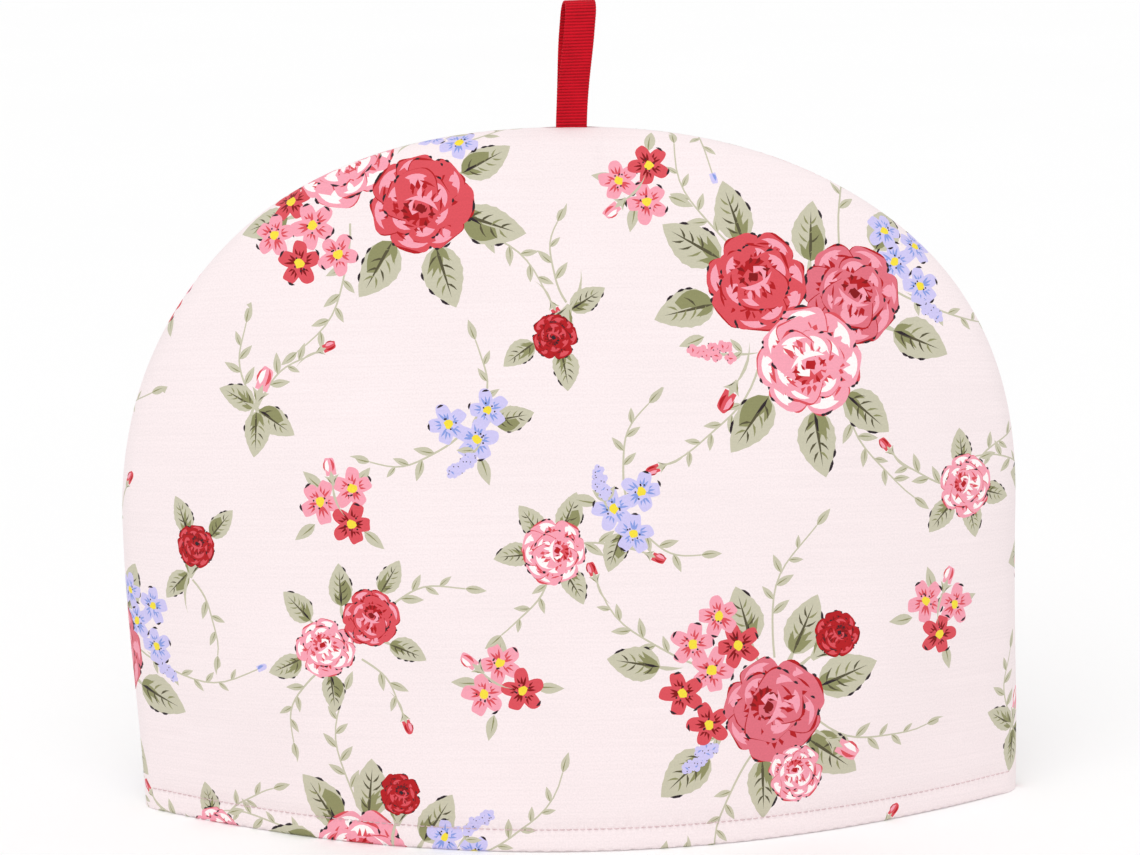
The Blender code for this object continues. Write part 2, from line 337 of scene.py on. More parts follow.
def blossom(rng, size, body, strokes):
    """An open flower of five round petals, with strokes from a yellow heart."""
    r = size / 2
    first = rng.uniform(0, 2 * math.pi)
    shapes = []
    for k in range(5):
        middle = first + 2 * math.pi / 5 * k + rng.uniform(-0.08, 0.08)
        high = r * rng.uniform(0.94, 1.08)
        shapes.append((body, lobe(around(middle, 0.06 * r), middle, high, 0.98 * r, rng, 13)))
        for t in (-0.3, 0.0, 0.3):
            end = around(middle + t * 1.1, rng.uniform(0.58, 0.82) * r)
            shapes.append((strokes, stroke(around(middle + t * 0.5, 0.16 * r), end, 0.13 * r, 0, 2, 0.4)))
        if rng.random() < 0.5:
            side = middle + rng.uniform(-0.3, 0.3)
            start, end = around(side - 0.2, 1.03 * r), around(side + 0.2, 1.03 * r)
            shapes.append(("black", stroke(start, end, 0.13 * r, -0.1, 2)))
    shapes.append(("yellow", spot(0.24 * r, 9, 0.22, rng)))
    for k in range(5):
        dot = spot(0.055 * r, 5, 0, rng)
        shapes.append(("black", dot + around(rng.uniform(0, 6.28), rng.uniform(0.26, 0.4) * r)))
    return shapes


def florets(rng, size, body, strokes):
    """Tiny flowers crowded on a stalk along +X, dotted with black."""
    shapes = [("sage", stroke((-2.4 * size, -0.3 * size), (size, 0), 1.1, 0.05, 4))]
    for side in (-1, 1):
        shapes += placed(leaflet(6.5), (-1.5 * size, -0.2 * size), 40 * side)
    for k in range(9):
        at = np.array([size * (k / 4.5 - 1), rng.uniform(-0.34, 0.34) * size * (1.2 - k / 9)])
        for j in range(4):
            shapes.append((body, spot(1.25, 7, 0.1, rng) + at + around(j * math.pi / 2 + k, 1.1)))
        shapes.append((strokes, stroke(at + around(k, -1.0), at + around(k, 1.0), 0.7, 0.1, 1)))
        for j in range(2):
            dot = spot(0.26, 5, 0, rng) + at
            shapes.append(("black", dot + around(rng.uniform(0, 6.28), rng.uniform(0.8, 2.2))))
    return shapes


# Printed cotton, the posies and their repeat.
# Each row of a posy: motif, x and y of where it grows from, how far out from there it starts, its
# direction in degrees, its size. Flowers come last, so that they lie over the leaves and stems.

MOTIFS = {
    "coral rose": lambda rng, size: rose(rng, size, CORAL_ROSE),
    "pale rose": lambda rng, size: rose(rng, size, PALE_ROSE),
    "mid rose": lambda rng, size: rose(rng, size, MID_ROSE),
    "dark rose": dark_rose,
    "pink bud": lambda rng, size: bud(rng, size, ("pink", "white", "coral")),
    "red bud": lambda rng, size: bud(rng, size, ("coral", "pink", "red")),
    "leaf": leaf,
    "leaflet": lambda rng, size: leaflet(size, 0.42),
    "pink blossom": lambda rng, size: blossom(rng, size, "pink", "coral"),
    "coral blossom": lambda rng, size: blossom(rng, size, "coral", "wine"),
    "lilac blossom": lambda rng, size: blossom(rng, size, "lilac", "blue"),
    "lilac florets": lambda rng, size: florets(rng, size, "lilac", "blue"),
    "pink florets": lambda rng, size: florets(rng, size, "pink", "coral"),
    "tendril": lambda rng, size: tendril(rng, size, 0.13, "leaf"),
    "bent tendril": lambda rng, size: tendril(rng, size, -0.15, "leaf"),
    "bud tendril": lambda rng, size: tendril(rng, size, 0.12, "bud"),
    "bell tendril": lambda rng, size: tendril(rng, size, -0.12, "bell"),
}
THREE_ROSES = (
    ("tendril", -16, 16, 5, 122, 53),
    ("bud tendril", 12, 18, 5, 66, 55),
    ("bell tendril", 30, 10, 5, -6, 57),
    ("bent tendril", 12, -18, 5, -58, 53),
    ("bud tendril", -14, -14, 5, -136, 51),
    ("leaf", -18, 13, 15, 106, 24),
    ("leaf", -18, 13, 15, 148, 25),
    ("leaf", -20, 8, 14, 194, 23),
    ("leaf", 2, 12, 8, 84, 23),
    ("leaf", 22, 12, 14, 62, 21),
    ("leaf", 20, 0, 15, -22, 24),
    ("leaf", 4, -20, 14, -40, 22),
    ("leaf", 0, -20, 15, -80, 25),
    ("leaf", -6, -18, 14, -126, 25),
    ("leaflet", -34, -6, 4, 200, 10),
    ("lilac florets", 50, 2, 0, -40, 5),
    ("lilac blossom", 36, 20, 0, 0, 14.5),
    ("lilac blossom", 46, 11, 0, 0, 14),
    ("lilac blossom", 33, 32, 0, 0, 13.5),
    ("lilac blossom", 46, 27, 0, 0, 14),
    ("pink florets", -36, -13, 0, 172, 8),
    ("red bud", -27, -25, 0, -120, 11),
    ("mid rose", 18, 8, 0, -30, 19),
    ("coral rose", -18, 13, 0, 25, 19),
    ("pale rose", 1, -17, 0, 200, 20),
)
TWO_ROSES = (
    ("tendril", -8, 18, 5, 98, 53),
    ("bell tendril", -18, 8, 7, 166, 55),
    ("bent tendril", 18, 8, 7, 38, 53),
    ("bud tendril", 20, -12, 7, -38, 51),
    ("tendril", -8, -12, 5, -112, 51),
    ("leaf", -14, 10, 15, 124, 24),
    ("leaf", -16, 8, 15, 166, 25),
    ("leaf", -12, 12, 15, 82, 23),
    ("leaf", 6, 10, 10, 56, 22),
    ("leaf", 18, -12, 15, -72, 24),
    ("leaf", 18, -10, 15, -18, 25),
    ("leaf", 14, -12, 14, -122, 24),
    ("leaf", 20, -6, 14, 30, 21),
    ("leaf", -26, -12, 8, -168, 20),
    ("coral blossom", -33, -7, 0, 0, 15.5),
    ("pink blossom", -24, -17, 0, 0, 16),
    ("pink blossom", -39, -20, 0, 0, 15),
    ("coral blossom", -29, -31, 0, 0, 15.5),
    ("pink blossom", -14, -28, 0, 0, 14.5),
    ("lilac blossom", 20, 20, 0, 0, 13.5),
    ("lilac blossom", 31, 14, 0, 0, 14),
    ("lilac florets", 34, 26, 0, 40, 6),
    ("pale rose", -14, 10, 0, 20, 20),
    ("coral rose", 17, -10, 0, 160, 19),
    ("dark rose", 2, 27, 0, 80, 19),
)
ROSE_AND_BLOSSOMS = (
    ("tendril", 6, 14, 3, 72, 51),
    ("bud tendril", -12, 10, 7, 142, 53),
    ("bent tendril", 14, -4, 7, -8, 51),
    ("bell tendril", 0, -14, 5, -104, 51),
    ("leaf", 8, 4, 15, 66, 24),
    ("leaf", 10, 0, 15, 20, 25),
    ("leaf", 8, -6, 15, -34, 25),
    ("leaf", 2, -6, 15, -88, 23),
    ("leaf", -8, -8, 14, -138, 24),
    ("leaf", -30, 14, 6, 170, 20),
    ("leaf", 2, 10, 13, 106, 22),
    ("lilac florets", -22, -20, 0, 222, 7),
    ("pink bud", 30, -16, 0, -30, 13),
    ("dark rose", 24, 18, 0, 42, 20),
    ("pink blossom", -17, 13, 0, 0, 16),
    ("coral blossom", -7, 22, 0, 0, 15.5),
    ("coral blossom", -28, 5, 0, 0, 15),
    ("pink blossom", -24, 23, 0, 0, 15),
    ("pink blossom", -14, 33, 0, 0, 14.5),
    ("coral blossom", -18, -7, 0, 0, 15),
    ("mid rose", 6, -2, 0, 70, 20),
    ("pale rose", 16, -27, 0, 10, 11),
)
SMALL_ROSES = (
    ("tendril", 8, 4, 6, 8, 34),
    ("bent tendril", -8, -6, 6, -128, 32),
    ("bud tendril", 2, -4, 6, -66, 26),
    ("leaf", -8, 2, 7, 124, 15),
    ("leaf", 0, 4, 7, 82, 16),
    ("leaf", 12, 8, 7, 48, 14),
    ("leaf", -12, -4, 7, 192, 15),
    ("leaf", 10, -2, 7, -34, 15),
    ("leaf", -8, -6, 7, -98, 15),
    ("pale rose", -9, -3, 0, 30, 11.5),
    ("coral rose", 11, 5, 0, -40, 11),
)
ONE_ROSE = (
    ("tendril", 0, 0, 1, 36, 35),
    ("bud tendril", 0, 0, 1, 156, 33),
    ("leaf", 0, 0, 7, 98, 15),
    ("leaf", 0, 0, 8, -14, 14),
    ("leaf", 0, 0, 8, -132, 15),
    ("leaf", 0, 0, 7, -74, 14),
    ("pale rose", 0, 0, 0, 70, 12),
)
DARK_SPRIG = (
    ("tendril", 0, -2, 2, -64, 30),
    ("leaf", 0, 0, 2, -128, 15),
    ("leaf", 0, 8, 6, 118, 15),
    ("leaf", 4, 9, 6, 56, 14),
    ("dark rose", 0, 0, 0, 84, 19),
)
PINK_SPRIG = (
    ("leaflet", 0, 0, 8, 20, 10),
    ("leaflet", 0, 0, 9, 108, 10),
    ("leaflet", 0, -4, 9, -72, 10),
    ("leaflet", -4, 0, 8, 186, 10),
    ("pink blossom", -6, 5, 0, 0, 15),
    ("pink blossom", 7, 3, 0, 0, 14.5),
    ("coral blossom", 0, -8, 0, 0, 14.5),
    ("pink bud", 2, 9, 0, 70, 9),
)
LILAC_SPRIG = (
    ("tendril", 0, 2, 2, 76, 34),
    ("bent tendril", 0, -2, 2, -32, 30),
    ("leaflet", -4, 0, 6, 168, 11),
    ("leaf", 0, -6, 4, -110, 15),
    ("lilac blossom", -4, -1, 0, 0, 14.5),
    ("lilac blossom", 6, 5, 0, 0, 14),
    ("lilac blossom", 3, -10, 0, 0, 13.5),
    ("lilac florets", -9, 9, 0, 100, 5),
)
BUD_SPRIG = (
    ("tendril", 0, 0, 0, 98, 32),
    ("bud tendril", 0, 0, 0, 40, 32),
    ("leaf", 0, 0, 1, 152, 16),
    ("leaf", 0, 0, 1, -34, 17),
    ("leaf", 0, 0, 1, -94, 17),
    ("pink bud", 0, 2, 2, 70, 12),
)
REPEAT_WIDTH = 300.0
REPEAT_HEIGHT = 264.0
# Each row: posy, x and y in the repeat, turn. The next column of the repeat drops by half its height.
REPEAT = (
    (THREE_ROSES, 86, 196, 0),
    (TWO_ROSES, 228, 118, 0),
    (ROSE_AND_BLOSSOMS, 66, 54, 0),
    (SMALL_ROSES, 214, 214, 10),
    (ONE_ROSE, 150, 132, 0),
    (DARK_SPRIG, 152, 238, -10),
    (PINK_SPRIG, 140, 84, 0),
    (LILAC_SPRIG, 18, 128, 0),
    (PINK_SPRIG, 272, 196, 70),
    (BUD_SPRIG, 182, 34, 0),
    (LILAC_SPRIG, 262, 24, 120),
    (DARK_SPRIG, 298, 66, 160),
    (ONE_ROSE, 292, 244, 200),
    (PINK_SPRIG, 26, 246, 150),
    (PINK_SPRIG, 214, 262, 30),
)
FIRST_SEED = 60
INK_NAMES = list(INKS)


def posy(rows, seed):
    rng = np.random.default_rng(seed)
    shapes = []
    for name, x, y, out, turn, size in rows:
        at = np.array([x, y]) + around(math.radians(turn), out)
        shapes += placed(MOTIFS[name](rng, size), at, turn)
    return shapes


def triangulated(points, edges):
    """Triangles over the points that keep the edges, with a new point where two edges cross."""
    made = delaunay_2d_cdt([Vector(p) for p in points], edges, [], 0, 1e-4, False)
    return np.array([v[:] for v in made[0]]), np.array(made[2])


def within(x, y, outline):
    """Which of the places lie inside an outline."""
    ax, ay = outline[:, 0], outline[:, 1]
    bx, by = np.roll(ax, -1), np.roll(ay, -1)
    spans = (ay > y[:, None]) != (by > y[:, None])
    with np.errstate(divide="ignore", invalid="ignore"):
        crossing = ax + (y[:, None] - ay) / (by - ay) * (bx - ax)
    return (spans & (x[:, None] < crossing)).sum(1) % 2 == 1


def ink_at(places, shapes):
    """The ink on top at each place, as a row of INK_NAMES."""
    ink = np.zeros(len(places), int)
    order = np.argsort(places[:, 0])
    x, y = places[order].T
    for name, outline in shapes:
        low, high = outline.min(0), outline.max(0)
        first, last = np.searchsorted(x, (low[0], high[0]))
        near = first + np.flatnonzero((y[first:last] >= low[1]) & (y[first:last] <= high[1]))
        if len(near):
            ink[order[near[within(x[near], y[near], outline)]]] = INK_NAMES.index(name)
    return ink


def colour_edges(shapes):
    """The points and edges where the ink changes, so that what later shapes hide costs nothing."""
    edges = []
    for _, outline in shapes:
        first = edges[-1][0] + 1 if edges else 0
        count = len(outline)
        edges += [(first + k, first + (k + 1) % count) for k in range(count)]
    points, triangles = triangulated(np.vstack([outline for _, outline in shapes]), edges)
    ink = ink_at(points[triangles].mean(1), shapes)
    sides = np.sort(triangles[:, [0, 1, 1, 2, 2, 0]].reshape(-1, 2), axis=1)
    key = sides[:, 0] * len(points) + sides[:, 1]
    order = np.argsort(key, kind="stable")
    beside = np.repeat(ink, 3)[order]
    changes = (np.diff(key[order]) == 0) & (np.diff(beside) != 0)
    kept = sides[order[1:][changes]]
    used = np.unique(kept)
    return points[used], np.searchsorted(used, kept)


repeat_posies = []
for row, (rows, x, y, turn) in enumerate(REPEAT):
    shapes = placed(posy(rows, FIRST_SEED + row), (x, y), turn)
    repeat_posies.append((shapes, *colour_edges(shapes)))


def printed(low, high):
    """The shapes, and the points and edges where the ink changes, of the cloth between two corners."""
    shapes, points, edges = [], [np.zeros((0, 2))], [np.zeros((0, 2), int)]
    count = 0
    for column in range(-3, 4):
        for row in range(-4, 5):
            shift = np.array([column * REPEAT_WIDTH, (row + column / 2) * REPEAT_HEIGHT])
            for posy_shapes, posy_points, posy_edges in repeat_posies:
                moved = posy_points + shift
                if (moved.min(0) < high).all() and (moved.max(0) > low).all():
                    shapes += [(ink, outline + shift) for ink, outline in posy_shapes]
                    points.append(moved)
                    edges.append(posy_edges + count)
                    count += len(moved)
    return shapes, np.vstack(points), np.vstack(edges)


# Printed cotton, the cloth itself.
# Plain-woven cotton: matt, with a faint sheen from its fibres, fine threads both ways and, across the
# piece, paler and darker weft threads that show as thin level streaks.

THREAD_SPACING = 0.00052  # metres: the real 0.3 mm is too fine to show, so it is drawn coarser


def add_node(tree, kind, settings=None, inputs=None):
    """Adds a node with its settings; an input is a value, or another node's output to link."""
    node = tree.nodes.new("ShaderNode" + kind)
    for name, value in (settings or {}).items():
        setattr(node, name, value)
    for name, value in (inputs or {}).items():
        if isinstance(value, bpy.types.NodeSocket):
            tree.links.new(value, node.inputs[name])
        else:
            node.inputs[name].default_value = value
    return node


def maths(tree, operation, *values):
    return add_node(tree, "Math", {"operation": operation}, dict(enumerate(values))).outputs[0]


def noise(tree, place, scale, detail):
    return add_node(tree, "TexNoise", inputs={"Vector": place, "Scale": scale, "Detail": detail}).outputs[0]


def new_material(name, constants):
    """A material, its tree and its shader, with the constants on the shader's own sockets."""
    material = bpy.data.materials.new(name)
    material.use_nodes = True
    tree = material.node_tree
    shader = tree.nodes["Principled BSDF"]
    for socket, value in constants.items():
        shader.inputs[socket].default_value = value
    return material, tree, shader


def colour_between(tree, shader, value, codes, places=(0.0, 1.0)):
    """Base colour: from one hex code to another as the value rises from place to place."""
    ramp = add_node(tree, "ValToRGB", inputs={"Fac": value})
    for k in (0, 1):
        ramp.color_ramp.elements[k].position = places[k]
        ramp.color_ramp.elements[k].color = linear(codes[k])
    tree.links.new(ramp.outputs["Color"], shader.inputs["Base Color"])


def add_bump(tree, shader, height, strength, distance):
    bump = add_node(tree, "Bump", inputs={"Strength": strength, "Distance": distance, "Height": height})
    tree.links.new(bump.outputs[0], shader.inputs["Normal"])


def woven_printed_cotton():
    material, tree, shader = new_material("woven_printed_cotton", {
        "Roughness": 0.86,
        "IOR": 1.5,
        "Specular IOR Level": 0.25,
        "Sheen Weight": 0.12,
        "Sheen Roughness": 0.5,
    })
    cut = add_node(tree, "Attribute", {"attribute_name": "cut"}).outputs["Vector"]
    ink = add_node(tree, "Attribute", {"attribute_name": "ink"}).outputs["Color"]
    place = add_node(tree, "SeparateXYZ", inputs={"Vector": cut}).outputs
    round_one = 2 * math.pi / THREAD_SPACING
    threads = [maths(tree, "SINE", maths(tree, "MULTIPLY", place[axis], round_one)) for axis in "XY"]
    weave = maths(tree, "MULTIPLY", *threads)
    long_way = add_node(tree, "VectorMath", {"operation": "MULTIPLY"}, {0: cut, 1: (16.0, 1250.0, 1.0)})
    streaks = noise(tree, long_way.outputs[0], 1.0, 2.0)
    slubs = noise(tree, cut, 1500.0, 3.0)
    clouds = noise(tree, cut, 22.0, 3.0)
    tone = 1.0
    for source, reach in ((streaks, 0.018), (slubs, 0.045), (clouds, 0.012)):
        limits = {"From Min": 0.3, "From Max": 0.7, "To Min": -reach, "To Max": reach}
        spread = add_node(tree, "MapRange", inputs={"Value": source, **limits})
        tone = maths(tree, "ADD", spread.outputs[0], tone)
    tone = maths(tree, "MULTIPLY_ADD", weave, 0.018, tone)
    dyed = add_node(tree, "VectorMath", {"operation": "SCALE"}, {0: ink, "Scale": tone}).outputs[0]
    tree.links.new(dyed, shader.inputs["Base Color"])
    add_bump(tree, shader, maths(tree, "MULTIPLY_ADD", weave, 0.35, slubs), 0.25, 0.00012)
    return material


printed_cotton = woven_printed_cotton()


# The two panels, their shape.
# Each is a dome of the printed cotton over thin wadding, turned in along the dome where the two are
# seamed together, and turned up and stitched at the hem. Sizes and formulas are the part's own, in metres.

WIDTH = 0.340
HEM_WIDTH = 0.337
HEIGHT = 0.260
WIDEST_AT = 0.111
DOME_ROUNDNESS = 2.25
HEM_TUCK = 1.6
SHIFTS = ((0.000, 0.0019), (0.100, -0.0006), (0.200, 0.0012), (0.260, -0.0016))
BELLY = 0.063
BELLY_RISE = 2.2
BELLY_FALL = 0.8
HEM_BOW = 1.0
PILLOW_BOW = 0.76
PILLOW_FROM = 0.080
SEAM_ROLL = 0.005
WALL = 0.0045
SEAM_GAP = 0.00015
STITCH_AT = 0.0087
STITCH_DEPTH = 0.0008
STITCH_REACH = 0.0024
STITCH_PITCH = 0.0025
STITCH_PULL = 0.00022  # how much deeper the cloth is drawn in at each needle hole
HEM_ROUND = 0.002
HEM_UNDER = 0.0012
RIBBON_WIDTH = 0.0116
RIBBON_THICK = 0.0010
RIBBON_AT = 0.0032
LEG_GAP = 0.00015
SLOT_HALF = 0.0074
SLOT_FADE = 0.0045
SLOT_DEEP = 0.010
SLOT_CLEAR = 0.0003
# Where the padding has settled: middle x, middle z, reach in x, reach in z, depth
FRONT_HOLLOWS = (
    (0.078, 0.098, 0.026, 0.050, 0.0022),
    (-0.118, 0.176, 0.016, 0.012, 0.0012),
    (-0.050, 0.060, 0.040, 0.030, 0.0010),
)
BACK_HOLLOWS = (
    (-0.060, 0.110, 0.030, 0.045, 0.0018),
    (0.090, 0.070, 0.030, 0.036, 0.0012),
)
# Small creases: middle x, middle z, direction in degrees, half its length, half its width, depth
FRONT_CREASES = (
    (-0.138, 0.182, 62, 0.010, 0.0016, 0.0007),
    (-0.132, 0.178, 50, 0.007, 0.0014, 0.0005),
    (0.139, 0.168, 118, 0.009, 0.0018, 0.0004),
    (-0.146, 0.036, 24, 0.012, 0.0022, 0.0005),
    (0.142, 0.030, 150, 0.013, 0.0024, 0.0005),
    (0.020, 0.019, 84, 0.008, 0.0022, 0.0003),
)
BACK_CREASES = (
    (0.132, 0.180, 120, 0.010, 0.0018, 0.0006),
    (-0.140, 0.040, 20, 0.012, 0.0022, 0.0005),
    (0.060, 0.020, 96, 0.009, 0.0022, 0.0004),
)


def ease(t):
    t = np.clip(t, 0, 1)
    return t * t * (3 - 2 * t)


def outline_shift(z):
    heights, shifts = np.array(SHIFTS).T
    z = np.clip(z, heights[0], heights[-1])
    row = np.clip(np.searchsorted(heights, z) - 1, 0, len(heights) - 2)
    part = (z - heights[row]) / (heights[row + 1] - heights[row])
    return shifts[row] + (shifts[row + 1] - shifts[row]) * ease(part)


def half_width(z, inset=0.0):
    """Half the outline's width at a height, for the outline drawn in by inset."""
    rise = np.clip((z - WIDEST_AT) / (HEIGHT - inset - WIDEST_AT), 0, 1)
    fall = np.clip((WIDEST_AT - z) / WIDEST_AT, 0, 1)
    dome = (WIDTH / 2 - inset) * (1 - rise**DOME_ROUNDNESS) ** (1 / DOME_ROUNDNESS)
    return dome - (WIDTH - HEM_WIDTH) / 2 * fall**HEM_TUCK


def dome_heights(count):
    """Heights from the widest part to the top, closer and closer, as their outline points are even."""
    rise = np.sin(np.linspace(0, math.pi / 2, count + 1)[1:]) ** (2 / DOME_ROUNDNESS)
    return WIDEST_AT + (HEIGHT - WIDEST_AT) * rise


def belly(across, z, inset=0.0):
    """How far the padding stands out from the seam: across is -1 and 1 on the outline."""
    rise = np.clip(z / (HEIGHT - inset), 0, 1)
    bow = HEM_BOW + (PILLOW_BOW - HEM_BOW) * ease(z / PILLOW_FROM)
    return BELLY * (1 - rise**BELLY_RISE) ** BELLY_FALL * np.clip(1 - across**2, 0, 1) ** bow


def ribbon_slot(x, z):
    """How far the seam opens for the ribbon's legs."""
    half_slot = LEG_GAP + RIBBON_THICK + SLOT_CLEAR - SEAM_GAP
    beside = 1 - ease((np.abs(x - RIBBON_AT) - SLOT_HALF) / SLOT_FADE)
    below = 1 - ease((HEIGHT - z - SLOT_DEEP) / SLOT_DEEP)
    return half_slot * beside * below


# A grid over each panel, close at its edges. Its rows are level up to the widest part, and bend over
# the dome above that, so that the last row and the ends of the rest lie on the outline.
SIDE_HEIGHTS = np.concatenate([[0, 0.0006, 0.002, 0.004], np.linspace(0.0063, WIDEST_AT, 22)])
GRID_ACROSS = -np.cos(np.linspace(0, math.pi, 73))
LAST_COLUMN = len(GRID_ACROSS) - 1
DOME_ROWS = 44
LAST_ROW = len(SIDE_HEIGHTS) - 1 + DOME_ROWS


def panel_grid():
    """x and z of each point of the grid."""
    low_z = SIDE_HEIGHTS[:, None] + 0 * GRID_ACROSS
    rise = np.sin(np.linspace(0, math.pi / 2, DOME_ROWS + 1)[1:])[:, None]
    disc_x = GRID_ACROSS * np.sqrt(1 - rise**2 / 2)
    disc_z = rise * np.sqrt(1 - GRID_ACROSS**2 / 2)
    reach = np.hypot(disc_x, disc_z)
    power = DOME_ROUNDNESS
    reach = reach / (np.abs(disc_x) ** power + disc_z**power) ** (1 / power)
    z = np.vstack([low_z, WIDEST_AT + (HEIGHT - WIDEST_AT) * disc_z * reach])
    away = np.vstack([half_width(low_z) * GRID_ACROSS, WIDTH / 2 * disc_x * reach])
    return away + outline_shift(z), z


def seam_distances(grid_x, grid_z):
    """Distance to the outline, in the seam's plane, of each point of the grid."""
    heights = np.concatenate([np.linspace(0, WIDEST_AT, 60), dome_heights(160)])
    outline = np.concatenate([
        np.stack([outline_shift(heights) + half_width(heights), heights], 1),
        np.stack([outline_shift(heights) - half_width(heights), heights], 1)[::-1],
    ])
    nearest = np.full(grid_x.shape, np.inf)
    for (ax, az), (bx, bz) in zip(outline[:-1], outline[1:]):
        length = max((bx - ax) ** 2 + (bz - az) ** 2, 1e-18)
        along = np.clip(((grid_x - ax) * (bx - ax) + (grid_z - az) * (bz - az)) / length, 0, 1)
        away = np.hypot(grid_x - ax - along * (bx - ax), grid_z - az - along * (bz - az))
        nearest = np.minimum(nearest, away)
    nearest[:, [0, -1]] = 0
    nearest[-1] = 0
    return nearest


def read_grid(values, column, row):
    """A value of the grid's points at a place between them, by column and row."""
    i = np.clip(column.astype(int), 0, values.shape[1] - 2)
    j = np.clip(row.astype(int), 0, values.shape[0] - 2)
    a, b = column - i, row - j
    if values.ndim == 3:
        a, b = a[:, None], b[:, None]
    low = values[j, i] * (1 - a) + values[j, i + 1] * a
    return low * (1 - b) + (values[j + 1, i] * (1 - a) + values[j + 1, i + 1] * a) * b


GRID_X, GRID_Z = panel_grid()
GRID_SEAM_DISTANCE = seam_distances(GRID_X, GRID_Z)


def across_panel(x, z):
    """Where a place lies from side to side: -1 and 1 are on the outline."""
    return np.clip((x - outline_shift(z)) / np.maximum(half_width(z), 1e-9), -1, 1)


def stitch_run():
    """Places across the stitched row from -1 to 1, and how far along the made-up cloth each lies."""
    across = -np.cos(np.linspace(0, math.pi, 2001))
    x = half_width(STITCH_AT) * across
    y = belly(across, STITCH_AT)
    return across, np.concatenate([[0], np.hypot(np.diff(x), np.diff(y)).cumsum()])


STITCH_ACROSS, STITCH_RUN = stitch_run()


def outer_face(column, row, hollows, creases):
    """x, depth and z of the printed face at places given by the grid's columns and rows."""
    x, z = read_grid(GRID_X, column, row), read_grid(GRID_Z, column, row)
    across = across_panel(x, z)
    away = read_grid(GRID_SEAM_DISTANCE, column, row)
    roll = SEAM_ROLL * np.sqrt(np.clip(1 - (1 - np.clip(away / SEAM_ROLL, 0, 1)) ** 2, 0, 1))
    inside = np.clip(away / (2 * SEAM_ROLL), 0, 1)
    drawn_in = STITCH_DEPTH * np.exp(-(((z - STITCH_AT) / STITCH_REACH) ** 2))
    needle = np.cos(2 * math.pi * np.interp(across, STITCH_ACROSS, STITCH_RUN) / STITCH_PITCH)
    drawn_in += STITCH_PULL * needle * np.exp(-(((z - STITCH_AT) / 0.0012) ** 2))
    lower = np.clip(1 - z / HEM_ROUND, 0, 1)
    drawn_in += HEM_UNDER * (1 - np.sqrt(1 - lower**2))
    for at_x, at_z, reach_x, reach_z, deep in hollows:
        drawn_in += deep * np.exp(-(((x - at_x) / reach_x) ** 2) - ((z - at_z) / reach_z) ** 2)
    for at_x, at_z, turn, long, wide, deep in creases:
        cos, sin = math.cos(math.radians(turn)), math.sin(math.radians(turn))
        along = (x - at_x) * cos + (z - at_z) * sin
        beside = (z - at_z) * cos - (x - at_x) * sin
        drawn_in += deep * np.exp(-((along / long) ** 2) - (beside / wide) ** 2)
    drawn_in += 0.00016 * np.sin(x * 118 + z * 63) * np.sin(z * 141 - x * 37)
    angle = np.arctan2(z - 0.06, x)
    puckers = np.sin(angle * 47) + np.sin(angle * 71 + 1.0) + np.sin(angle * 29 + 2.0)
    drawn_in += 0.00012 * puckers * np.exp(-away / 0.006)
    y = SEAM_GAP + ribbon_slot(x, z) + roll + belly(across, z) - drawn_in * inside
    return np.stack([x, y, z], 1)


def inner_face(column, row):
    """The same places on the inner face, a wall's thickness in from the outline."""
    x, z = read_grid(GRID_X, column, row), read_grid(GRID_Z, column, row)
    across = across_panel(x, z)
    drawn_down = (HEIGHT - WALL - WIDEST_AT) / (HEIGHT - WIDEST_AT)
    z = np.where(z > WIDEST_AT, WIDEST_AT + (z - WIDEST_AT) * drawn_down, z)
    x = outline_shift(z) + half_width(z, WALL) * across
    y = SEAM_GAP + ribbon_slot(x, z) + belly(across, z, WALL)
    return np.stack([x, y, z], 1)


# The two panels, cut and made up.
# The cloth of a panel is spread flat until its threads have their real lengths again. The print is laid
# on that flat cut, and the cut is then made up: each point goes back to its place on the padded panel.

SPREADING_STEPS = 900
CORNER_REACH = 6  # where the grid's corners lie along the outline, normals are taken this far in
FIRST_SPREAD = (1.2, 1.15)  # starts wider and taller than the flat cut, so that no part of it starts folded
HEM_POINTS = 451
OUTLINE_SPACING = 0.0012
LOOSE_SPACING = 0.8  # of the loose points, in columns and rows of the grid
INNER_SPACING = 2.0
STITCH_ROWS_APART = 0.0008  # metres between the rows of points that shape the stitched groove
FRONT_ON_REPEAT = (0.0, 0.0)  # millimetres: where the middle of the hem lies on the repeat
BACK_ON_REPEAT = (452.0, 96.0)


def spread_flat(hollows):
    """The flat cut: where each point of the panel's grid lies in it, in metres."""
    row, column = np.mgrid[0 : LAST_ROW + 1, 0 : LAST_COLUMN + 1].astype(float)
    made_up = outer_face(column.ravel(), row.ravel(), hollows, ()).reshape(*row.shape, 3)
    flat = made_up[:, :, ::2] * FIRST_SPREAD
    whole, first, last = slice(None), slice(0, -1), slice(1, None)
    threads = []
    for near, far in (((whole, first), (whole, last)), ((first, whole), (last, whole)),
                      ((first, first), (last, last)), ((first, last), (last, first))):
        threads.append((near, far, np.linalg.norm(made_up[far] - made_up[near], axis=2)))
    speed = np.zeros_like(flat)
    for _ in range(SPREADING_STEPS):
        pull = np.zeros_like(flat)
        for near, far, length in threads:
            gap = flat[far] - flat[near]
            stretch = 0.5 * gap * (1 - length / np.maximum(np.linalg.norm(gap, axis=2), 1e-9))[..., None]
            pull[near] += stretch
            pull[far] -= stretch
        speed = 0.95 * (speed + 0.2 * pull)
        flat = flat + speed
    return flat - flat[0, LAST_COLUMN // 2]


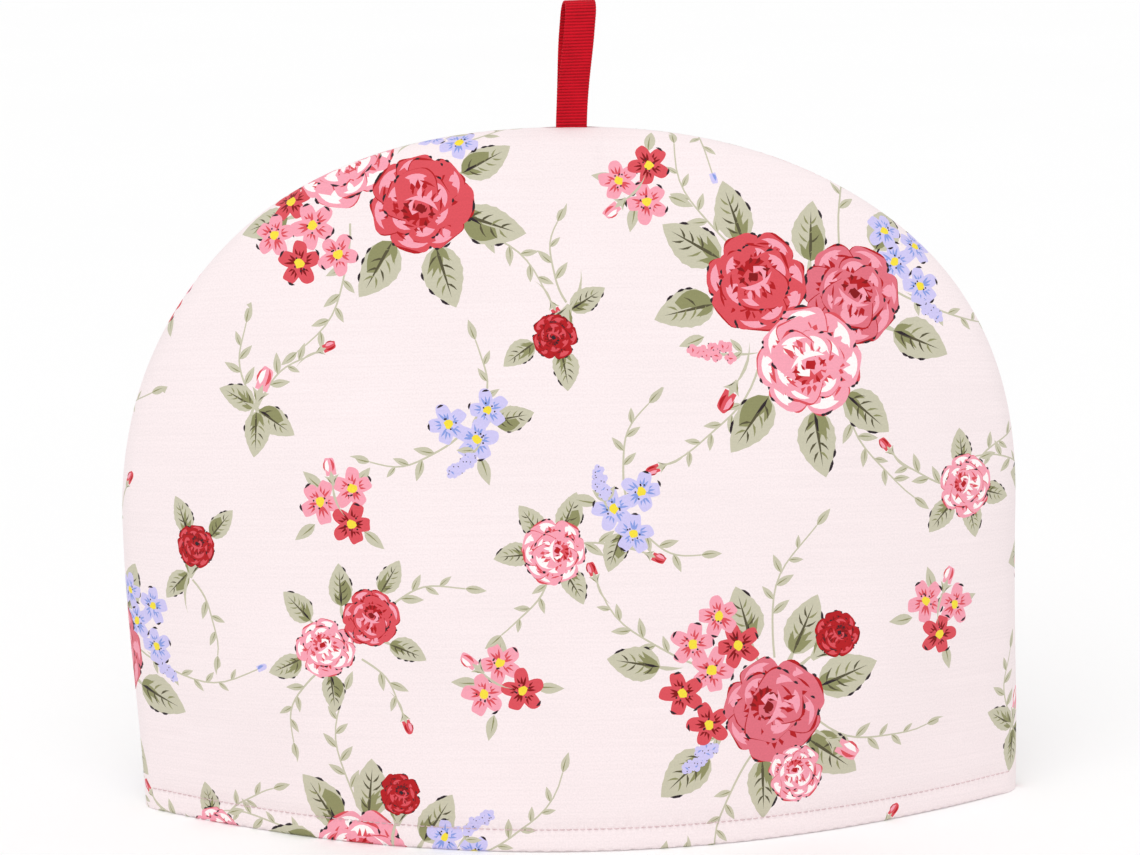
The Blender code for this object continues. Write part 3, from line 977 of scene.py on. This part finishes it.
def find_on_cut(flat, places):
    """The grid's column and row at each place of the flat cut."""
    rows, columns = flat.shape[:2]
    near = KDTree(rows * columns)
    for k, place in enumerate(flat.reshape(-1, 2)):
        near.insert((*place, 0), k)
    near.balance()
    nearest = np.array([near.find((*place, 0))[1] for place in places.tolist()])
    row, column = (part.astype(float) for part in divmod(nearest, columns))
    for _ in range(12):
        i = np.clip(column.astype(int), 0, columns - 2)
        j = np.clip(row.astype(int), 0, rows - 2)
        a, b = (column - i)[:, None], (row - j)[:, None]
        per_column = (flat[j, i + 1] - flat[j, i]) * (1 - b) + (flat[j + 1, i + 1] - flat[j + 1, i]) * b
        per_row = (flat[j + 1, i] - flat[j, i]) * (1 - a) + (flat[j + 1, i + 1] - flat[j, i + 1]) * a
        miss = places - read_grid(flat, column, row)
        area = per_column[:, 0] * per_row[:, 1] - per_column[:, 1] * per_row[:, 0]
        column_step = (miss[:, 0] * per_row[:, 1] - miss[:, 1] * per_row[:, 0]) / area
        row_step = (per_column[:, 0] * miss[:, 1] - per_column[:, 1] * miss[:, 0]) / area
        column = np.clip(column + np.clip(column_step, -1, 1), 0, columns - 1)
        row = np.clip(row + np.clip(row_step, -1, 1), 0, rows - 1)
    return column, row


def grid_column(across):
    return np.interp(across, GRID_ACROSS, np.arange(LAST_COLUMN + 1))


def grid_row(z):
    """The grid's row at a height below the widest part."""
    return np.interp(z, SIDE_HEIGHTS, np.arange(len(SIDE_HEIGHTS)))


def even_across(count):
    """Places across a row, about evenly spaced along the made-up cloth."""
    return -np.cos(np.linspace(0, math.pi, count))


def inner_points(spacing):
    """Columns and rows of loose points inside the outline, but for the grid's corners, each row staggered."""
    columns, rows = [], []
    for k, row in enumerate(np.arange(1, LAST_ROW, spacing)):
        places = np.arange(0.6 + spacing * 0.5 * (k % 2), LAST_COLUMN - 0.4, spacing)
        columns.append(places)
        rows.append(np.full(len(places), row))
    column, row = np.concatenate(columns), np.concatenate(rows)
    kept = np.maximum(np.minimum(column, LAST_COLUMN - column), LAST_ROW - row) > CORNER_REACH + 4
    return column[kept], row[kept]


def outline_of(hem_points, spacing):
    """Columns and rows round the panel: along the hem, up one side, over the dome and down the other."""
    columns = [grid_column(np.sin(np.linspace(-math.pi / 2, math.pi / 2, hem_points)))[:-1]]
    rows = [np.zeros(hem_points - 1)]
    corners = ((LAST_COLUMN, 0), (LAST_COLUMN, LAST_ROW), (0, LAST_ROW), (0, 0))
    for start, end in zip(corners[:-1], corners[1:]):
        column, row = (np.linspace(start[k], end[k], 600) for k in (0, 1))
        steps = np.hypot(np.diff(read_grid(GRID_X, column, row)), np.diff(read_grid(GRID_Z, column, row)))
        length = np.concatenate([[0], steps.cumsum()])
        even = np.linspace(0, length[-1], round(length[-1] / spacing) + 1)[:-1]
        columns.append(np.interp(even, length, column))
        rows.append(np.interp(even, length, row))
    return np.concatenate(columns), np.concatenate(rows)


def boundary_loop(triangles):
    """The points round the edge of a patch of triangles, in their order."""
    sides = triangles[:, [0, 1, 1, 2, 2, 0]].reshape(-1, 2)
    ahead = {(a, b) for a, b in sides.tolist()}
    following = {a: b for a, b in ahead if (b, a) not in ahead}
    loop = [next(iter(following))]
    while following[loop[-1]] != loop[0]:
        loop.append(following[loop[-1]])
    return np.array(loop)


def trimmed(points, triangles, outline):
    """The triangles inside the outline, wound the same way, and the points that they use."""
    centres = points[triangles].mean(1)
    inside = np.concatenate([within(*part.T, outline) for part in np.array_split(centres, 24)])
    triangles = triangles[inside]
    a, b, c = (points[triangles[:, k]] for k in range(3))
    area = (b[:, 0] - a[:, 0]) * (c[:, 1] - a[:, 1]) - (b[:, 1] - a[:, 1]) * (c[:, 0] - a[:, 0])
    triangles = triangles[np.abs(area) > 1e-7]
    flipped = area[np.abs(area) > 1e-7] < 0
    triangles[flipped] = triangles[flipped][:, ::-1]
    used = np.unique(triangles)
    return points[used], np.searchsorted(used, triangles)


def face_normals(face, column, row):
    """Normals, away from the seam's plane, at places on a face."""
    side = np.minimum(column, LAST_COLUMN - column)
    corner = np.maximum(side, LAST_ROW - row) < CORNER_REACH
    row = np.where(corner, LAST_ROW - CORNER_REACH, row)
    inside = np.where(column < CORNER_REACH, CORNER_REACH, LAST_COLUMN - CORNER_REACH)
    column = np.where(corner, inside, column)
    near = 0.06
    along = face(np.minimum(column + near, LAST_COLUMN), row) - face(np.maximum(column - near, 0), row)
    up = face(column, np.minimum(row + near, LAST_ROW)) - face(column, np.maximum(row - near, 0))
    normals = np.cross(up, along)
    return normals / np.maximum(np.linalg.norm(normals, axis=1), 1e-12)[:, None]


def on_cut(flat, places, loop, outline, outline_grid):
    """The grid's column and row of each point of the cut. Those of its edge are read from the outline's."""
    grid = np.stack(find_on_cut(flat, places / 1000), 1)
    edge = places[loop]
    nearest = np.array([np.hypot(*(outline - place).T).argmin() for place in edge])
    least = np.full(len(loop), np.inf)
    for step in (-1, 1):
        beside = (nearest + step) % len(outline)
        along = outline[beside] - outline[nearest]
        part = np.clip(((edge - outline[nearest]) * along).sum(1) / (along**2).sum(1), 0, 1)[:, None]
        gap = np.hypot(*(outline[nearest] + along * part - edge).T)
        between = outline_grid[nearest] + (outline_grid[beside] - outline_grid[nearest]) * part
        grid[loop[gap < least]] = between[gap < least]
        least = np.minimum(least, gap)
    return grid.T


def fitted(values, low, high):
    """Places stretched to fill a box of the baking map."""
    span = values.max(0) - values.min(0)
    return np.array(low) + (values - values.min(0)) / span * (np.array(high) - np.array(low))


def panel(name, node, facing, hollows, creases, on_repeat):
    """One made-up panel: its printed face, its plain inner face and the edge between them."""
    flat = spread_flat(hollows)
    seen_from_outside = (-facing, 1)

    outline_column, outline_row = outline_of(HEM_POINTS, OUTLINE_SPACING)
    outline = read_grid(flat, outline_column, outline_row) * 1000
    loose_column, loose_row = inner_points(LOOSE_SPACING)
    stitch_across = even_across(HEM_POINTS)[3:-3]
    for height in (STITCH_AT - STITCH_ROWS_APART, STITCH_AT, STITCH_AT + STITCH_ROWS_APART):
        loose_column = np.concatenate([loose_column, grid_column(stitch_across)])
        loose_row = np.concatenate([loose_row, np.full(len(stitch_across), grid_row(height))])
    loose = read_grid(flat, loose_column, loose_row) * 1000
    turned = outline * seen_from_outside
    shapes, points, edges = printed(turned.min(0) + on_repeat, turned.max(0) + on_repeat)
    points = (points - on_repeat) * seen_from_outside
    shapes = [(ink, (shape - on_repeat) * seen_from_outside) for ink, shape in shapes]

    count = len(outline)
    rim = np.stack([np.arange(count), np.roll(np.arange(count), -1)], 1)
    everything = np.vstack([outline, points, loose])
    places, triangles = triangulated(everything, np.vstack([rim, edges + count]).tolist())
    places, triangles = trimmed(places, triangles, outline)
    inks = ink_at(places[triangles].mean(1), shapes)
    loop = boundary_loop(triangles)
    column, row = on_cut(flat, places, loop, outline, np.stack([outline_column, outline_row], 1))

    def printed_face(column, row):
        return outer_face(column, row, hollows, creases)

    outer = printed_face(column, row)
    at_seam = SEAM_GAP + ribbon_slot(outer[loop, 0], outer[loop, 2])
    outer[loop, 1] = np.where(row[loop] > 0, at_seam, outer[loop, 1])
    outer_normals = face_normals(printed_face, column, row)

    ring = places[loop]
    inner_column, inner_row = inner_points(INNER_SPACING)
    inner_loose = read_grid(flat, inner_column, inner_row) * 1000
    edge = np.stack([np.arange(len(loop)), np.roll(np.arange(len(loop)), -1)], 1)
    inner_places, inner_triangles = triangulated(np.vstack([ring, inner_loose]), edge.tolist())
    inner_places, inner_triangles = trimmed(inner_places, inner_triangles, ring)
    inner_column, inner_row = find_on_cut(flat, inner_places / 1000)
    inner_column[: len(loop)] = column[loop]
    inner_row[: len(loop)] = row[loop]
    inner = inner_face(inner_column, inner_row)
    inner_normals = -face_normals(inner_face, inner_column, inner_row)

    first = len(outer)
    ahead = np.roll(loop, -1)
    inner_loop = first + np.arange(len(loop))
    inner_ahead = np.roll(inner_loop, -1)
    edge_faces = np.vstack([
        np.stack([ahead, loop, inner_loop], 1),
        np.stack([ahead, inner_loop, inner_ahead], 1),
    ])
    corners = np.vstack([triangles, inner_triangles[:, ::-1] + first, edge_faces])
    points = np.vstack([outer, inner]) * (1, facing, 1)
    if facing > 0:
        corners = corners[:, ::-1]
    mesh = bpy.data.meshes.new(name)
    mesh.from_pydata(points.tolist(), [], corners.tolist())

    normals = (np.vstack([outer_normals, inner_normals]) * (1, facing, 1))[corners]
    a, b, c = (points[corners[:, k]] for k in range(3))
    flat_normals = np.cross(b - a, c - a)
    flat_normals /= np.maximum(np.linalg.norm(flat_normals, axis=1), 1e-12)[:, None]
    normals[-len(edge_faces) :] = flat_normals[-len(edge_faces) :, None]
    mesh.shade_smooth()
    mesh.normals_split_custom_set(normals.reshape(-1, 3).tolist())

    colours = np.array([linear(INKS[ink]) for ink in INK_NAMES])
    faces_ink = np.concatenate([inks, np.zeros(len(corners) - len(inks), int)])
    layer = mesh.color_attributes.new("ink", "FLOAT_COLOR", "CORNER")
    layer.data.foreach_set("color", np.repeat(colours[faces_ink], 3, axis=0).ravel())
    cut = mesh.attributes.new("cut", "FLOAT_VECTOR", "POINT")
    on_flat = np.vstack([places, inner_places]) / 1000
    cut.data.foreach_set("vector", np.column_stack([on_flat, np.zeros(len(on_flat))]).ravel())

    outer_map = fitted(places, (0.003, 0.003), (0.997, 0.84))
    inner_map = fitted(inner_places, (0.003, 0.86), (0.30, 0.997))
    corner_map = np.vstack([outer_map, inner_map])[corners]
    position = np.arange(len(loop)) / len(loop)
    step = 1 / len(loop)
    near, far = 0.33 + 0.66 * position, 0.33 + 0.66 * (position + step)
    low, high = np.full(len(loop), 0.88), np.full(len(loop), 0.95)
    halves = [[[far, low], [near, low], [near, high]], [[far, low], [near, high], [far, high]]]
    edge_map = np.concatenate([np.transpose(half, (2, 0, 1)) for half in halves])
    corner_map[-len(edge_faces) :] = edge_map[:, ::-1] if facing > 0 else edge_map
    baking = mesh.uv_layers.new(name="OFBake")
    baking.data.foreach_set("uv", corner_map.ravel())
    mesh.materials.append(printed_cotton)
    mesh.validate()

    item = bpy.data.objects.new(name, mesh)
    bpy.context.collection.objects.link(item)
    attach(item, "root")
    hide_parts(node)
    size = (outline.max(0) - outline.min(0)) / 1000
    x, y = outline.T / 1000
    area = abs((x * np.roll(y, -1) - y * np.roll(x, -1)).sum()) / 2
    return item, printed_face, size.tolist(), area


front_cover, front_face, front_size, front_area = panel(
    "front_cover", "front_panel", -1, FRONT_HOLLOWS, FRONT_CREASES, FRONT_ON_REPEAT
)
back_cover, back_face, back_size, back_area = panel(
    "back_cover", "back_panel", 1, BACK_HOLLOWS, BACK_CREASES, BACK_ON_REPEAT
)


# Hem stitching.
# A row of machine stitches in pale spun thread that holds the turned-up hem. Each stitch is a short
# raised length that dips into the cloth at both ends, and the row lies in the groove that it pulls.

THREAD_RADIUS = 0.00019
STITCH_GAP = 0.0003
STITCH_ENDS = 0.004  # from the seam to the first stitch


def spun_thread():
    """Spun cotton thread: matt and slightly hairy, its colour uneven along the row."""
    material, tree, shader = new_material("spun_cotton_thread", {
        "Roughness": 0.8,
        "IOR": 1.5,
        "Specular IOR Level": 0.3,
        "Sheen Weight": 0.2,
    })
    place = add_node(tree, "NewGeometry").outputs["Position"]
    colour_between(tree, shader, noise(tree, place, 380.0, 2.0), ("#CDB0B3", "#E6CFD1"), (0.3, 0.7))
    add_bump(tree, shader, noise(tree, place, 5200.0, 2.0), 0.3, 0.00005)
    return material


def hem_stitches(name, face, facing, material):
    """The row of stitches on one panel, as one joined mesh."""
    length = STITCH_RUN[-1]
    middles = np.arange(math.ceil(STITCH_ENDS / STITCH_PITCH) + 0.5, (length - STITCH_ENDS) / STITCH_PITCH)
    t = np.linspace(-1, 1, 7)
    half = (STITCH_PITCH - STITCH_GAP) / 2
    run = (middles[:, None] * STITCH_PITCH + half * t).ravel()
    column = grid_column(np.interp(run, STITCH_RUN, STITCH_ACROSS))
    row = np.full(len(run), grid_row(STITCH_AT))
    normals = face_normals(face, column, row)
    rise = np.tile(THREAD_RADIUS * (1.5 * np.sqrt(np.clip(1 - t**2, 0, 1)) - 0.75), len(middles))
    radius = np.tile(THREAD_RADIUS * (1 - 0.35 * t**4), len(middles))
    middle = face(column, row) + normals * rise[:, None]
    up = np.array([0.0, 0.0, 1.0])
    up = up - normals * normals[:, 2:]
    up /= np.linalg.norm(up, axis=1)[:, None]
    sides = 7
    angles = np.linspace(0, 2 * math.pi, sides, endpoint=False)
    rings = [middle + radius[:, None] * (normals * math.sin(a) + up * math.cos(a)) for a in angles]
    points = np.stack(rings, 1).reshape(-1, 3) * (1, facing, 1)
    faces = []
    for k in range(len(run)):
        ring = [k * sides + j for j in range(sides)]
        if k % len(t) == 0:
            faces.append(ring)
        if k % len(t) == len(t) - 1:
            faces.append(ring[::-1])
        else:
            faces += [[ring[j - 1], ring[j - 1] + sides, ring[j] + sides, ring[j]] for j in range(sides)]
    mesh = bpy.data.meshes.new(name)
    mesh.from_pydata(points.tolist(), [], [f[::-1] for f in faces] if facing > 0 else faces)
    mesh.shade_smooth()
    mesh.materials.append(material)
    item = bpy.data.objects.new(name, mesh)
    bpy.context.collection.objects.link(item)
    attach(item, "root")
    return item


thread = spun_thread()
front_stitches = hem_stitches("front_hem_stitches", front_face, -1, thread)
back_stitches = hem_stitches("back_hem_stitches", back_face, 1, thread)


# Ribbon loop.
# One length of red grosgrain, a ribbed polyester ribbon with firm picked edges, folded in two and
# caught by both ends in the seam at the top. Its thick weft makes ribs straight across.

LOOP_TALL = 0.047
LOOP_OPEN = 0.0090
LOOP_WIDEST = 0.74
LEG_IN_SEAM = 0.0045
LOOP_LEAN = 0.0038
LOOP_TWIST = math.radians(-10)
RIB_PITCH = 0.00115
RIB_HEIGHT = 0.00026
RIB_STEPS = 8
WARP_SPACING = 0.0003
PICOT = 0.00010  # how far each rib stands out past the ribbon's edge


def woven_grosgrain():
    """Grosgrain: deep red with a soft gloss, painted highlight on the ribs' crests and painted shade in their
    grooves, and fine warp threads along its length.
    """
    constants = {"Roughness": 0.5, "IOR": 1.5, "Specular IOR Level": 0.12}
    material, tree, shader = new_material("woven_grosgrain", constants)
    cut = add_node(tree, "Attribute", {"attribute_name": "cut"}).outputs["Vector"]
    place = add_node(tree, "SeparateXYZ", inputs={"Vector": cut}).outputs
    warp = maths(tree, "SINE", maths(tree, "MULTIPLY", place["X"], 2 * math.pi / WARP_SPACING))
    # painted highlight and shade: this wave makes the base colour lighter on each rib's crest and darker in
    # the groove between ribs
    rib = maths(tree, "COSINE", maths(tree, "MULTIPLY", place["Y"], 2 * math.pi / RIB_PITCH))
    tone = maths(tree, "MULTIPLY_ADD", warp, 0.05, noise(tree, cut, 2600.0, 2.0))
    tone = maths(tree, "MULTIPLY_ADD", noise(tree, cut, 90.0, 2.0), 0.6, tone)
    # the ribs' painted highlight and painted shade go into the base colour here
    tone = maths(tree, "MULTIPLY_ADD", rib, 0.22, tone)
    colour_between(tree, shader, tone, ("#960010", "#DA0A24"), (0.45, 1.0))
    add_bump(tree, shader, warp, 0.35, 0.00005)
    return material


def loop_path():
    """The ribbon's middle line in its own plane: (across, up) points from one leg's end to the other."""
    leg = LEG_GAP + RIBBON_THICK / 2
    bend = LOOP_OPEN / 2 + RIBBON_THICK / 2
    top = LOOP_TALL - RIBBON_THICK / 2 - bend
    up = np.linspace(-LEG_IN_SEAM, top, 200)
    spread = ease(up / (LOOP_WIDEST * LOOP_TALL))
    legs = np.stack([-(leg + (bend - leg) * spread), up], 1)
    angles = np.linspace(math.pi, 0, 90)[1:-1]
    crown = np.stack([bend * np.cos(angles), top + bend * np.sin(angles)], 1)
    return np.concatenate([legs, crown, legs[::-1] * (-1, 1)])


def ribbon_loop(material):
    """The folded ribbon, a ring of points for each step along it."""
    path = loop_path()
    lengths = np.concatenate([[0], np.hypot(*np.diff(path, axis=0).T).cumsum()])
    count = round(lengths[-1] / (RIB_PITCH / RIB_STEPS))
    run = np.linspace(0, lengths[-1], count + 1)
    middle = np.stack([np.interp(run, lengths, path[:, k]) for k in (0, 1)], 1)
    heading = np.gradient(middle, axis=0)
    heading /= np.linalg.norm(heading, axis=1)[:, None]
    outwards = np.stack([-heading[:, 1], heading[:, 0]], 1)
    rib = np.abs(np.cos(math.pi * np.arange(count + 1) / RIB_STEPS))
    half_thick = RIBBON_THICK / 2 - RIB_HEIGHT * (1 - rib)
    half_wide = RIBBON_WIDTH / 2 - PICOT * (1 - rib)
    t = np.linspace(-1, 1, 9)
    across_ring = np.concatenate([t * 0.93, [0.985, 1.0, 0.985], -t * 0.93, [-0.985, -1.0, -0.985]])
    side_ring = np.concatenate([np.ones(9), [0.7, 0, -0.7], -np.ones(9), [-0.7, 0, 0.7]])
    points, cuts = [], []
    for k in range(count + 1):
        x = across_ring * half_wide[k]
        across = middle[k, 0] + outwards[k, 0] * half_thick[k] * side_ring
        up = middle[k, 1] + outwards[k, 1] * half_thick[k] * side_ring
        height = np.maximum(up, 0) / LOOP_TALL
        turn = LOOP_TWIST * ease(height / LOOP_WIDEST)
        moved_x = RIBBON_AT + LOOP_LEAN * height**1.3 + x * np.cos(turn) + across * np.sin(turn)
        moved_y = across * np.cos(turn) - x * np.sin(turn)
        points += np.stack([moved_x, moved_y, HEIGHT + up], 1).tolist()
        cuts += np.stack([x, np.full(len(x), run[k]), np.zeros(len(x))], 1).tolist()
    size = len(across_ring)
    faces = [list(range(size)), [count * size + j for j in range(size)][::-1]]
    for k in range(count):
        ring = [k * size + j for j in range(size)]
        faces += [[ring[j - 1], ring[j - 1] + size, ring[j] + size, ring[j]] for j in range(size)]
    mesh = bpy.data.meshes.new("ribbon")
    mesh.from_pydata(points, [], faces)
    cut = mesh.attributes.new("cut", "FLOAT_VECTOR", "POINT")
    cut.data.foreach_set("vector", np.array(cuts).ravel())
    mesh.shade_smooth()
    mesh.set_sharp_from_angle(angle=math.radians(75))
    mesh.materials.append(material)
    item = bpy.data.objects.new("ribbon", mesh)
    bpy.context.collection.objects.link(item)
    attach(item, "root")
    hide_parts("ribbon_loop")
    return item


ribbon_loop(woven_grosgrain())


# Floor, light and camera.
# A plain white floor that runs out past the view, soft light from all round with a stronger lamp in front,
# and a long lens that looks slightly down on the middle of the front.

FLOOR_RADIUS = 14.0
PHOTO_SIZE = (1140, 855)
FOCAL_PIXELS = 3431.0
CAMERA_AWAY = 1.300
CAMERA_ABOVE = math.radians(12)
CAMERA_ROLL = math.radians(-1.11)
LOOKS_AT = (0.0005, 0.0, 0.1457)
SENSOR = 36.0


def white_floor():
    constants = {"Roughness": 0.9, "Specular IOR Level": 0.1}
    material, tree, shader = new_material("painted_board", constants)
    place = add_node(tree, "NewGeometry").outputs["Position"]
    colour_between(tree, shader, noise(tree, place, 3.0, 3.0), ("#FCFCFC", "#FEFEFE"))
    angles = np.linspace(0, 2 * math.pi, 97)[:-1]
    rim = [(FLOOR_RADIUS * math.cos(a), FLOOR_RADIUS * math.sin(a), 0) for a in angles]
    mesh = bpy.data.meshes.new("floor")
    mesh.from_pydata(rim, [], [list(range(len(rim)))])
    mesh.materials.append(material)
    floor = bpy.data.objects.new("floor", mesh)
    bpy.context.collection.objects.link(floor)


def lamp(name, comes_from, floor_light, softness):
    """A far, soft lamp: floor_light is the part of the floor's white that it gives."""
    light = bpy.data.lights.new(name, "SUN")
    direction = Vector(comes_from).normalized()
    light.energy = floor_light * math.pi / direction.z
    light.angle = math.radians(softness)
    item = bpy.data.objects.new(name, light)
    bpy.context.collection.objects.link(item)
    item.rotation_euler = direction.to_track_quat("Z", "Y").to_euler()


def camera():
    data = bpy.data.cameras.new("camera")
    data.sensor_width = SENSOR
    data.lens = FOCAL_PIXELS / PHOTO_SIZE[0] * SENSOR
    data.clip_start = 0.05
    data.clip_end = 60
    item = bpy.data.objects.new("camera", data)
    bpy.context.collection.objects.link(item)
    back = Vector((0, -math.cos(CAMERA_ABOVE), math.sin(CAMERA_ABOVE)))
    turn = (-back).to_track_quat("-Z", "Y").to_matrix() @ Matrix.Rotation(CAMERA_ROLL, 3, "Z")
    item.matrix_world = Matrix.Translation(Vector(LOOKS_AT) + back * CAMERA_AWAY) @ turn.to_4x4()
    bpy.context.scene.camera = item


white_floor()
lamp("key_lamp", (-0.12, -0.62, 0.90), 0.25, 55)
lamp("back_lamp", (0.15, 0.60, 0.90), 0.05, 70)
world = bpy.data.worlds.new("studio")
world.use_nodes = True
world.node_tree.nodes["Background"].inputs["Color"].default_value = (1.0, 1.0, 1.0, 1.0)
world.node_tree.nodes["Background"].inputs["Strength"].default_value = 0.72
bpy.context.scene.world = world
bpy.context.scene.view_settings.view_transform = "Standard"
camera()
